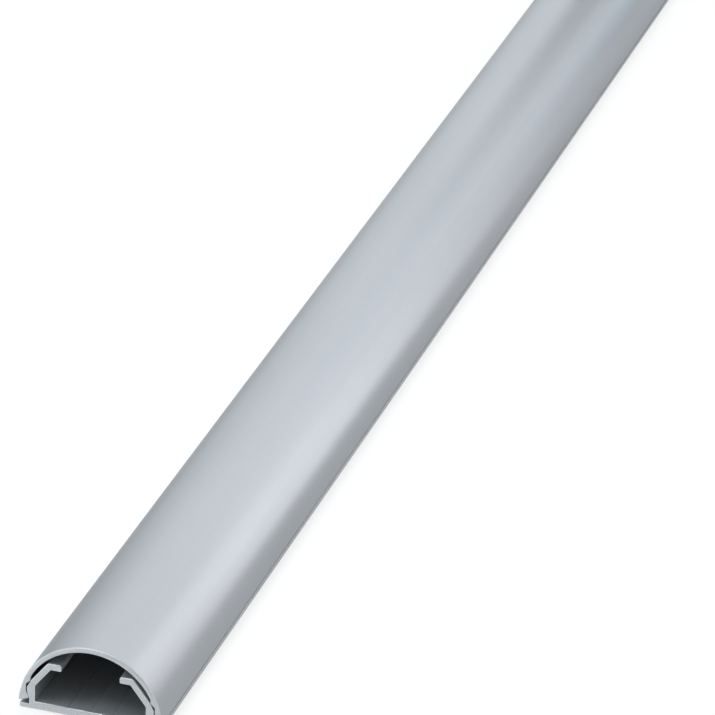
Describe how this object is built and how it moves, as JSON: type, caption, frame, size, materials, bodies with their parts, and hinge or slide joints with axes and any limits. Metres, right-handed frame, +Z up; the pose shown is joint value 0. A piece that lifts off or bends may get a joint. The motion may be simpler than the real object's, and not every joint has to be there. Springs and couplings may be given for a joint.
{
  "type": "cable channel",
  "caption": "Half-round aluminium cable channel: a flat base profile with leaning arms and lips, and an arched cover that clips over it and slides off along its length.",
  "frame": {"origin": "on the underside of the base, in the middle of its width and of its length", "axes": "+Y along the channel's length, +Z up from the base's flat underside to the cover's crown, +X across the width"},
  "size_m": [0.033, 1.1, 0.0175],
  "materials": {
    "base_aluminium": "satin anodised, with fine lines along the extrusion and square-sawn ends",
    "cover_aluminium": "satin anodised, smooth, with square-sawn ends"
  },
  "bodies": {
    "base": {"base": "base_aluminium"},
    "cover": {"cover": "cover_aluminium"}
  },
  "joints": [
    {"name": "cover_slide", "type": "slide", "parent": "base", "child": "cover", "axis": [0, 1, 0], "range_m": [-1.12, 1.12]}
  ]
}
